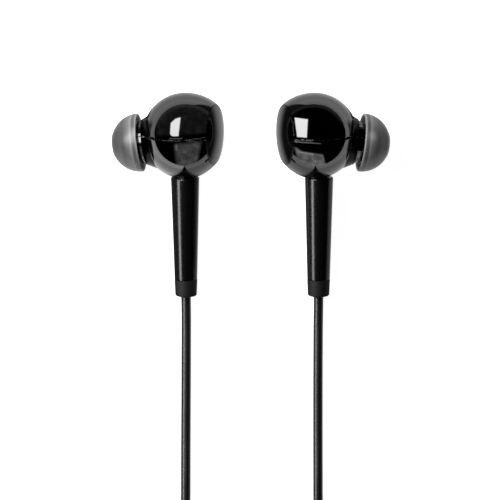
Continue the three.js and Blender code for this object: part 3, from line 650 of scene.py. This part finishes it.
def turned(name, corners, sides=96, closed=True):
    """A round piece about +Z, drawn up from a circle by extruding and scaling it along its half section in
    mm. A section that starts on the axis makes a solid, any other a ring that closes on its first corner."""
    line = rounded(corners)
    solid = line[0][0] == 0
    if solid:
        line = line[1:]
    elif closed:
        line.append(line[0])
    r, h = line[0]
    bpy.ops.object.select_all(action="DESELECT")
    fill = "NGON" if solid else "NOTHING"
    bpy.ops.mesh.primitive_circle_add(vertices=sides, radius=r * MM, location=(0, 0, 0), fill_type=fill)
    piece = bpy.context.object
    piece.name = name
    bpy.ops.object.mode_set(mode="EDIT")
    bpy.ops.mesh.select_mode(type="FACE" if solid else "EDGE")
    bpy.ops.mesh.select_all(action="SELECT")
    bpy.ops.transform.translate(value=(0, 0, h * MM))
    for next_r, next_h in line[1:]:
        rise = {"value": (0, 0, (next_h - h) * MM)}
        if solid:
            bpy.ops.mesh.extrude_region_move(TRANSFORM_OT_translate=rise)
        else:
            bpy.ops.mesh.extrude_edges_move(TRANSFORM_OT_translate=rise)
        share = next_r / r
        bpy.ops.transform.resize(value=(share, share, 1), center_override=(0, 0, next_h * MM))
        if next_r == 0:
            break
        r, h = next_r, next_h
    bpy.ops.mesh.select_all(action="SELECT")
    bpy.ops.mesh.remove_doubles(threshold=1e-7)
    bpy.ops.mesh.normals_make_consistent(inside=False)
    bpy.ops.object.mode_set(mode="OBJECT")
    bpy.ops.object.shade_smooth_by_angle(angle=math.radians(32))
    return piece


def copy_of(model):
    """A copy with a mesh of its own."""
    made = model.copy()
    made.data = model.data.copy()
    bpy.context.scene.collection.objects.link(made)
    return made


def lay(model, side, axis, name, *nodes, body="earphones", slot, finish):
    """A copy of a modelled piece, laid in its place on one bud."""
    piece = copy_of(model)
    piece.name = name + "_" + side
    settle(piece, bud_place[side] @ axis)
    finish.on(piece)
    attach(piece, body)
    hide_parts(*[node + "_" + side for node in nodes])
    return piece


def put_away(model):
    """Takes away a model once its copies are laid."""
    bpy.data.objects.remove(model)


satin = Finish("satin_stem", Base_Color=(0.0015, 0.0015, 0.0017, 1), Roughness=0.2)
satin_grain = satin.noise(0.00016, detail=3, roughness=0.6)
satin.vary("Roughness", 0.12 + 0.2 * satin.noise(0.0006, detail=3))
satin.vary("Base Color", satin.between(satin.noise(0.002), (0.001, 0.001, 0.0012), (0.002, 0.002, 0.0023)))
satin.bumps(satin_grain, 0.000005)

stem = turned("stem_model", [
    (1.15, 6.6, 0), (2.2, 6.6, 0.15), (2.2, 8.78, 0), (2.8, 8.78, 0.05), (2.96, 8.95, 0.2),
    (2.67, 19.8, 0), (2.38, 30.56, 0.1), (2.0, 30.63, 0), (1.15, 30.63, 0),
])
stems = []
for side in lying:
    stems.append(lay(stem, side, stem_axis(side), "stem_tube", "stem", slot="satin_black", finish=satin))
put_away(stem)

# ---- Boot ----
# The strain relief is a short sleeve of matt black rubber, pushed on under the stem. It holds the cable
# tightly at its mouth, and its mould leaves faint slanting marks.
boot_rubber = Finish("boot_rubber", Base_Color=(0.003, 0.003, 0.0032, 1), Roughness=0.6,
                     Specular_IOR_Level=0.25)
boot_marks = boot_rubber.noise(0.0002, detail=3, stretch=(1, 0.35, 1))
boot_black = boot_rubber.between(boot_marks, (0.001, 0.001, 0.0011), (0.005, 0.005, 0.0054))
boot_rubber.vary("Roughness", 0.5 + 0.25 * boot_marks)
boot_rubber.vary("Base Color", boot_black)
boot_rubber.bumps(boot_marks, 0.00003)

boot = turned("boot_model", [
    (1.04, 30.68, 0), (2.4, 30.68, 0.08), (2.26, 34.15, 0.42), (1.35, 34.15, 0.1), (1.3, 34.4, 0.1),
    (1.04, 34.4, 0),
])
boots = []
for side in lying:
    boots.append(lay(boot, side, stem_axis(side), "boot_sleeve", "boot", slot="rubber_black",
                     finish=boot_rubber))
put_away(boot)

# ---- Housing shells ----
# Two halves of polished black plastic make the ball and its neck, 1.1 mm thick, joined on a level seam.
# The ball's open side, which the cap closes, rises a little away from the stem.
gloss = Finish("gloss_shell", Base_Color=(0.0015, 0.0015, 0.0017, 1), Roughness=0.05)
gloss.vary("Roughness", 0.03 + 0.07 * gloss.noise(0.0012, detail=4, roughness=0.7) ** 2.0)
gloss.vary("Base Color", gloss.between(gloss.noise(0.003), (0.001, 0.001, 0.0012), (0.002, 0.002, 0.0023)))
gloss.bumps(gloss.noise(0.0035, detail=1), 0.000012)


def combine(piece, operation, other):
    """Adds another solid to piece, cuts it off, or keeps what both share, and takes the other away."""
    modify(piece, "BOOLEAN", operation=operation, object=other, solver="EXACT")
    bpy.data.objects.remove(other)


def ball(radius, mouth_at, segments):
    """A ball about the housing's axis, cut off square at the mouth and raised there."""
    raised = 0.5 * MM
    raised_at = 6.5 * MM
    bpy.ops.object.select_all(action="DESELECT")
    bpy.ops.mesh.primitive_uv_sphere_add(segments=segments, ring_count=segments // 2, radius=radius * MM)
    made = bpy.context.object
    bpy.ops.object.mode_set(mode="EDIT")
    bpy.ops.mesh.select_all(action="SELECT")
    plane = (0, 0, -mouth_at * MM)
    bpy.ops.mesh.bisect(plane_co=plane, plane_no=(0, 0, 1), use_fill=True, clear_inner=True)
    bpy.ops.object.mode_set(mode="OBJECT")
    for corner in made.data.vertices:
        corner.co.x -= raised * (min(corner.co.z, 0) / raised_at) ** 2
    made.data.transform(ball_axis)
    return made


mouth_at = 6.38
hollow_radius = 7.9
hollow_mouth_at = 7.2
neck_starts = 5.6
neck_radius = 6.35
seam_at = 0.35
seam_gap = 0.06
edge_rounding = 0.1 * MM
block = 24  # a cube this large takes one half out of the shell
housing = ball(ball_radius, mouth_at, 128)
# the neck hollows in from the ball, up to a small step round its mouth
neck_line = [(neck_radius - 2 * (1 - (1 - t / 16) ** 1.1), neck_starts + t / 4, 0) for t in range(13)]
neck = turned("neck", [(0, neck_starts, 0)] + neck_line + [
    (4.76, 8.7, 0.03), (4.46, 8.72, 0.02), (4.44, 9.6, 0.1), (0.5, 9.6, 0), (0, 9.6, 0)])
neck.data.transform(nozzle_axis)
combine(housing, "UNION", neck)
combine(housing, "DIFFERENCE", ball(hollow_radius, hollow_mouth_at, 64))
bore = turned("bore", [(0, 3.7, 0), (3.2, 3.7, 0), (3.2, 10.6, 0), (0.5, 10.6, 0), (0, 10.6, 0)], 64)
bore.data.transform(nozzle_axis)
combine(housing, "DIFFERENCE", bore)

housings = {"left": [], "right": []}
for side in lying:
    socket = turned("socket", [(0, 4.6, 0), (2.25, 4.6, 0), (2.25, 10, 0), (0.5, 10, 0), (0, 10, 0)], 64)
    socket.data.transform(stem_axis(side))
    shell = copy_of(housing)
    combine(shell, "DIFFERENCE", socket)
    for half, way in (("shell_upper", 1), ("shell_lower", -1)):
        middle = seam_at + way * (seam_gap / 2 + block / 2)
        bpy.ops.object.select_all(action="DESELECT")
        bpy.ops.mesh.primitive_cube_add(size=block * MM, location=(0, middle * MM, 0))
        half_block = bpy.context.object
        model = copy_of(shell)
        combine(model, "INTERSECT", half_block)
        modify(model, "BEVEL", width=edge_rounding, segments=2, limit_method="ANGLE",
               angle_limit=math.radians(55))
        bpy.ops.object.shade_smooth_by_angle(angle=math.radians(35))
        housings[side].append(
            lay(model, side, Matrix.Identity(4), half + "_part", half, slot="gloss_black", finish=gloss))
        put_away(model)
    put_away(shell)
put_away(housing)

# The neck takes a duller copy of the ball's gloss, with a finer grain, so that it shows darker: painted
# shade for the dark its hollow shape mirrors. The edges of the seams are painted grey in broken patches, a
# painted glint, but not the faces that meet in them.
ball_ends = 9.03
neck_ends = 8.71
glint_from = 8.7
glint_width = 0.14
seam_face = 0.95
# a duller copy of the gloss, darker than the ball: painted shade on the neck
shaded_neck = Finish("shaded_neck_gloss", Base_Color=(0.0015, 0.0015, 0.0017, 1), Roughness=0.22, Specular_IOR_Level=0.05)
shaded_neck.vary("Roughness", 0.16 + 0.16 * shaded_neck.noise(0.0005, detail=3))
shaded_neck.bumps(shaded_neck.noise(0.0012, detail=2), 0.00002)
# painted glint: the seam edges are painted grey in broken patches, a painted highlight along the seam
seam_glint = Finish("painted_seam_glint", Base_Color=(0.1, 0.1, 0.1, 1), Roughness=0.4)
glint_patches = seam_glint.noise(0.0011, detail=2).ease(0.35, 0.65)
seam_glint.vary("Base Color", seam_glint.between(glint_patches, (0.004, 0.004, 0.004), (0.2, 0.2, 0.2)))
seam_glint.bumps(seam_glint.noise(0.0003), 0.00001)
for side, pieces in housings.items():
    into_bud = bud_place[side].inverted()
    into_nozzle = nozzle_axis.inverted()
    for piece in pieces:
        piece.data.materials.append(shaded_neck.material)
        piece.data.materials.append(seam_glint.material)
        for face in piece.data.polygons:
            spot = into_bud @ face.center / MM
            facing = into_bud.to_3x3() @ face.normal
            up_nozzle = (into_nozzle @ (spot * MM)).z
            on_neck = spot.x > 0 and spot.length > ball_ends and up_nozzle < neck_ends * MM
            by_seam = abs(spot.y - seam_at) < glint_width and abs(facing.y) < seam_face
            if on_neck:
                face.material_index = 1
            if by_seam and spot.length > glint_from:
                face.material_index = 2

# ---- Back cap ----
# A shallow dome of the same polished plastic, snapped into the open side of the housing by a ring inside.
# A hairline gap runs round it.
cap_curve = 22
cap_top = 7.384
cap_raised = 0.5 * MM
cap_line = []
for a in (15.8, 15.2, 14.3, 13, 11.5, 10, 8, 6, 4, 2, 1, 0):
    turn = math.radians(a)
    cap_line.append((cap_curve * math.sin(turn), cap_top - cap_curve * (1 - math.cos(turn)), 0))
cap = turned("cap_model", [
    (0, 6.1, 0), (4.0, 6.1, 0), (4.0, 5.3, 0), (4.8, 5.3, 0.1), (4.8, 6.46, 0), (6.26, 6.46, 0.06),
    (6.2, 6.51, 0.05), *cap_line,
])
cap_axis = ball_axis @ Matrix.Translation((-cap_raised, 0, 0)) @ Matrix.Rotation(math.pi, 4, "X")
for side in lying:
    housings[side].append(
        lay(cap, side, cap_axis, "cap_dome", "back_cap", slot="gloss_black", finish=gloss))
put_away(cap)

# ---- Nozzle ----
# The sound tube is moulded in gloss black plastic with a broad base ring that seats in the neck, and a barb
# that the ear tip snaps over.
nozzle = turned("nozzle_model", [
    (1.5, 6.8, 0), (2.9, 6.8, 0.1), (2.9, 9.72, 0), (3.95, 9.72, 0.12), (3.95, 10.5, 0.2), (2.4, 10.5, 0.1),
    (2.4, 12.7, 0), (2.62, 13.1, 0.15), (2.4, 14.4, 0.12), (2.1, 14.4, 0.05), (2.1, 13.85, 0),
    (1.5, 13.85, 0.03),
])
nozzles = []
for side in lying:
    nozzles.append(lay(nozzle, side, nozzle_axis, "nozzle_tube", "nozzle", slot="satin_black", finish=gloss))
put_away(nozzle)

# ---- Ear tip ----
# Smoky translucent silicone in one moulding: a thin bell with a rounded rim, and a stout core inside that
# grips the nozzle. It pulls off along the nozzle.
tip_radius = 6.1
tip_length = 5.9
bell_starts = 0.3
bell_wall = 0.55
silicone = Finish("smoky_silicone", Base_Color=(0.12, 0.12, 0.124, 1), Roughness=0.38, IOR=1.41,
                  Transmission_Weight=0.5)
from_rim = silicone.node("Attribute", {"attribute_name": "from_rim"}, {}, "Fac")
# the bell's colour is painted by height from the rim: painted light where light passes through the thin rim,
# painted shade just inside it and over the core, a painted light line where the core begins, and a little
# lighter at the front
bell_painted_light_and_shade = silicone.node("ValToRGB", {"stops": [
    (0, (0.32, 0.32, 0.325)), (0.035, (0.28, 0.28, 0.285)), (0.065, (0.09, 0.09, 0.092)),
    (0.16, (0.08, 0.08, 0.082)), (0.2, (0.23, 0.23, 0.234)), (0.26, (0.15, 0.15, 0.153)),
    (0.5, (0.052, 0.052, 0.053)), (0.85, (0.052, 0.052, 0.053)), (1, (0.075, 0.075, 0.077)),
]}, {"Fac": from_rim * (1 / (tip_length * MM))}, "Color")
silicone.vary("Base Color", bell_painted_light_and_shade)
silicone.vary("Roughness", 0.34 + 0.12 * silicone.noise(0.0008, detail=3))
silicone.bumps(silicone.noise(0.0003, detail=2), 0.000008)

bell_line = []
for a in range(90, 22, -4):
    turn = math.radians(a)
    bell_line.append((tip_radius * math.sin(turn), bell_starts + tip_length * math.cos(turn)))
tip = turned("tip_model", [
    (5.72, 0, 0.1), (5.95, 0.02, 0.1), (6.08, 0.14, 0.05),
    *[(r, h, 0) for r, h in bell_line],
    (2.2, 5.86, 0.25), (1.6, 5.9, 0.1), (1.4, 5.78, 0.1), (1.4, 5.3, 0.1),
    (2.7, 5.3, 0.1), (2.7, 1.4, 0.1), (3.45, 1.4, 0.2), (3.45, 4.1, 0.3),
    *[(r - bell_wall, h - 0.3, 0) for r, h in bell_line[-5:1:-1]],
    (5.6, 0.3, 0),
])
# how far each corner lies from the rim, for the light and shade painted into the bell's colour
from_rim_of = tip.data.attributes.new("from_rim", "FLOAT", "POINT")
for corner, share in zip(tip.data.vertices, from_rim_of.data):
    share.value = corner.co.z
rim_height = {"left": 9.45, "right": 9.8}
tips = []
for side in lying:
    slide = nozzle_axis @ Matrix.Translation((0, 0, rim_height[side] * MM))
    tips.append(lay(tip, side, slide, "tip_bell", "ear_tip", body="ear_tip_" + side, slot="smoke_silicone",
                    finish=silicone))
put_away(tip)

# ---- Nozzle mesh ----
# A fine woven steel cloth, pressed into the nozzle's mouth, keeps wax out.
mesh_steel = Finish("mesh_steel", Base_Color=(0.32, 0.33, 0.35, 1), Roughness=0.35, Metallic=1)
threads = {"Vector": mesh_steel.place(), "Scale": 5500}
weave = mesh_steel.node("TexVoronoi", {"feature": "F1"}, threads, "Distance")
mesh_steel.vary("Base Color", mesh_steel.between(weave > 0.35, (0.02, 0.02, 0.02), (0.36, 0.37, 0.39)))
mesh_steel.bumps(weave, 0.00005)

# ---- Driver and what is in the housing ----
# The driver is a basket, a steel motor with its magnet, a film with a copper coil, and a foam ring; behind
# it are a felt disc, a solder board, the wires, the cable's end and the collar that stops it pulling out.
basket_grey = Finish("basket_grey", Base_Color=(0.045, 0.047, 0.053, 1), Roughness=0.5)
basket_grey.vary("Roughness", 0.4 + 0.2 * basket_grey.noise(0.0004))
basket_grey.bumps(basket_grey.noise(0.0002), 0.00001)
motor_steel = Finish("motor_steel", Base_Color=(0.32, 0.33, 0.35, 1), Roughness=0.35, Metallic=1)
motor_steel.vary("Roughness", 0.25 + 0.25 * motor_steel.noise(0.0003, detail=4))
magnet_nickel = Finish("magnet_nickel", Base_Color=(0.56, 0.54, 0.5, 1), Roughness=0.2, Metallic=1)
magnet_nickel.vary("Roughness", 0.12 + 0.2 * magnet_nickel.noise(0.0006, detail=4))
film = Finish("pressed_film", Base_Color=(0.48, 0.26, 0.07, 1), Roughness=0.25)
film.vary("Base Color", film.between(film.noise(0.001), (0.42, 0.22, 0.05), (0.55, 0.31, 0.1)))
film.bumps(film.noise(0.0005), 0.00002)
copper = Finish("copper_wire", Base_Color=(0.55, 0.2, 0.08, 1), Roughness=0.3, Metallic=1)
copper.vary("Roughness", 0.2 + 0.2 * copper.noise(0.0003))
copper.bumps(copper.noise(0.00015), 0.00002)
foam = Finish("foam_ring", Base_Color=(0.03, 0.03, 0.03, 1), Roughness=0.95)
cells = foam.noise(0.0002, detail=4)
foam.vary("Base Color", foam.between(cells, (0.015, 0.015, 0.015), (0.05, 0.05, 0.05)))
foam.bumps(cells, 0.00006)
felt = Finish("felt_disc", Base_Color=(0.68, 0.65, 0.57, 1), Roughness=0.95)
felt.vary("Base Color", felt.between(felt.noise(0.0002, detail=5), (0.55, 0.52, 0.45), (0.75, 0.72, 0.64)))
felt.bumps(felt.noise(0.00015, detail=5), 0.00005)
board = Finish("solder_board", Base_Color=(0.02, 0.1, 0.04, 1), Roughness=0.4)
pads = board.noise(0.0009)
board.vary("Base Color", board.between(pads > 0.62, (0.02, 0.11, 0.045), (0.5, 0.5, 0.48)))
board.bumps(pads, 0.00003)
for side in lying:
    for finish, *nodes in (
        (mesh_steel, "nozzle_mesh"),
        (basket_grey, "driver_frame"),
        (motor_steel, "driver_yoke", "driver_plate"),
        (magnet_nickel, "driver_magnet"),
        (film, "diaphragm"),
        (copper, "voice_coil", "lead_wire"),
        (foam, "driver_gasket"),
        (felt, "rear_damper"),
        (board, "terminal_board"),
        (jacket, "inner_cable"),
        (boot_rubber, "cable_anchor"),
    ):
        finish.on(*[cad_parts[node + "_" + side] for node in nodes])

# ---- Plug ----
# A straight 3.5 mm three-pole plug: a ribbed boot and a grip of black rubber, and gold-plated sleeve, ring
# and tip with black insulators between them. It lies on its grip beside the main coil.
gold = Finish("gold_plate", Base_Color=(0.76, 0.5, 0.17, 1), Roughness=0.18, Metallic=1)
gold.vary("Roughness", 0.12 + 0.14 * gold.noise(0.0007, detail=4))
gold.vary("Base Color", gold.between(gold.noise(0.002), (0.72, 0.47, 0.15), (0.8, 0.55, 0.2)))
insulator = Finish("insulator_black", Base_Color=(0.006, 0.006, 0.008, 1), Roughness=0.3)
insulator.vary("Roughness", 0.22 + 0.2 * insulator.noise(0.0004))
cable_mouth = Vector((20, -123.6, 3.2)) * MM
plug_place = Matrix.Translation(cable_mouth) @ Matrix.Rotation(math.pi, 4, "Z") @ stand_up

# the boot widens from the cable to the grip, with a groove at every rib
groove_pitch = 2
groove_depth = 0.35
boot_line = [(1.24, 0, 0), (1.7, 0, 0.15)]
for i in (1, 2, 3):
    r = 1.7 + 0.9 * i / 4
    h = groove_pitch * i
    boot_line += [(r, h - 0.4, 0.1), (r - groove_depth, h - 0.3, 0.08)]
    boot_line += [(r - groove_depth, h + 0.3, 0.08), (r, h + 0.4, 0.1)]
boot_line += [(2.6, 8.1, 0.1), (1.24, 8.1, 0)]
grip_line = [
    (0, 8.25, 0), (2.7, 8.25, 0.15), (3.2, 8.9, 0.2), (3.2, 20.4, 0.2), (2.9, 20.8, 0.15), (1.8, 20.8, 0),
    (1.8, 18.2, 0), (0.5, 18.2, 0), (0, 18.2, 0),
]
sleeve_line = [(1.05, 18.3, 0), (1.75, 18.3, 0), (1.75, 28.4, 0.06), (1.05, 28.4, 0)]
rear_line = [(0.5, 28.42, 0), (1.72, 28.42, 0), (1.72, 29.38, 0), (0.5, 29.38, 0)]
ring_line = [(0.5, 29.4, 0), (1.75, 29.4, 0.06), (1.75, 31.0, 0.06), (0.5, 31.0, 0)]
front_line = [(0.5, 31.02, 0), (1.72, 31.02, 0), (1.72, 31.98, 0), (0.5, 31.98, 0)]
tip_point_line = [
    (0, 18.4, 0), (0.45, 18.4, 0), (0.45, 32.0, 0), (1.75, 32.0, 0.06), (1.75, 32.5, 0.1),
    (1.15, 33.15, 0.15), (1.15, 33.45, 0.15), (1.62, 34.1, 0.2), (1.48, 34.5, 0.3), (0.5, 35.45, 0.2),
    (0, 35.6, 0),
]
plug_parts = {
    "plug_boot": (boot_line, band_rubber, "rubber_black"),
    "plug_grip": (grip_line, band_rubber, "rubber_black"),
    "plug_sleeve": (sleeve_line, gold, "gold"),
    "plug_insulator_rear": (rear_line, insulator, "insulator_black"),
    "plug_ring": (ring_line, gold, "gold"),
    "plug_insulator_front": (front_line, insulator, "insulator_black"),
    "plug_tip": (tip_point_line, gold, "gold"),
}
plug_pieces = []
for node, (corners, finish, slot) in plug_parts.items():
    piece = turned(node + "_part", corners, 64)
    settle(piece, plug_place)
    finish.on(piece)
    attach(piece, "earphones")
    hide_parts(node)
    plug_pieces.append(piece)

# ---- What each light falls on ----
# A long strip light low on the left draws one line of light along every stem, boot and cable. The table's
# sheen and the dome round each bud show in that bud alone, and the room in the pieces out of view.
strip = panel("left_strip", place=(-260, -45, 160), target=(0, -20, 5), width=90, height=500, radiance=8)


def shine_on(light, name, *pieces):
    """Lets a light, or a thing that shines, show on these pieces alone."""
    light.light_linking.receiver_collection = bpy.data.collections.new(name)
    for piece in pieces:
        light.light_linking.receiver_collection.objects.link(piece)


slim = (*branches.values(), main_cable, *stems, *boots)
shine_on(strip, "strip_lit", *slim)
far_pieces = (*ties.values(), splitter, *plug_pieces)
shine_on(slim_sheen, "slim_sheen_lit", *slim, *far_pieces)
shine_on(room, "room_lit", *far_pieces)
shine_on(soft_box, "box_lit", *slim, *nozzles, *tips, *far_pieces, table)
shine_on(tip_light, "tip_lit", *tips)
shine_on(tip_fill, "tip_fill_lit", *tips)
# the lengths that lie out of the picture stay out of its mirror images too
for piece in (*branches.values(), main_cable, *far_pieces):
    piece.visible_glossy = False
for side, nozzle_piece, tip_piece in zip(lying, nozzles, tips):
    shine_on(sheens[side], "sheen_lit_" + side, *housings[side], nozzle_piece, tip_piece)
    shine_on(domes[side], "dome_lit_" + side, *housings[side], nozzle_piece)

# ---- What each cable is ----
# Each branch leaves its boot and ends in the splitter; the main cable leaves the splitter and ends in the
# plug. All three are thin and limp.
for side in lying:
    with_pieces = [ties["branch_tie_" + side]] + ([splitter] if side == "left" else [])
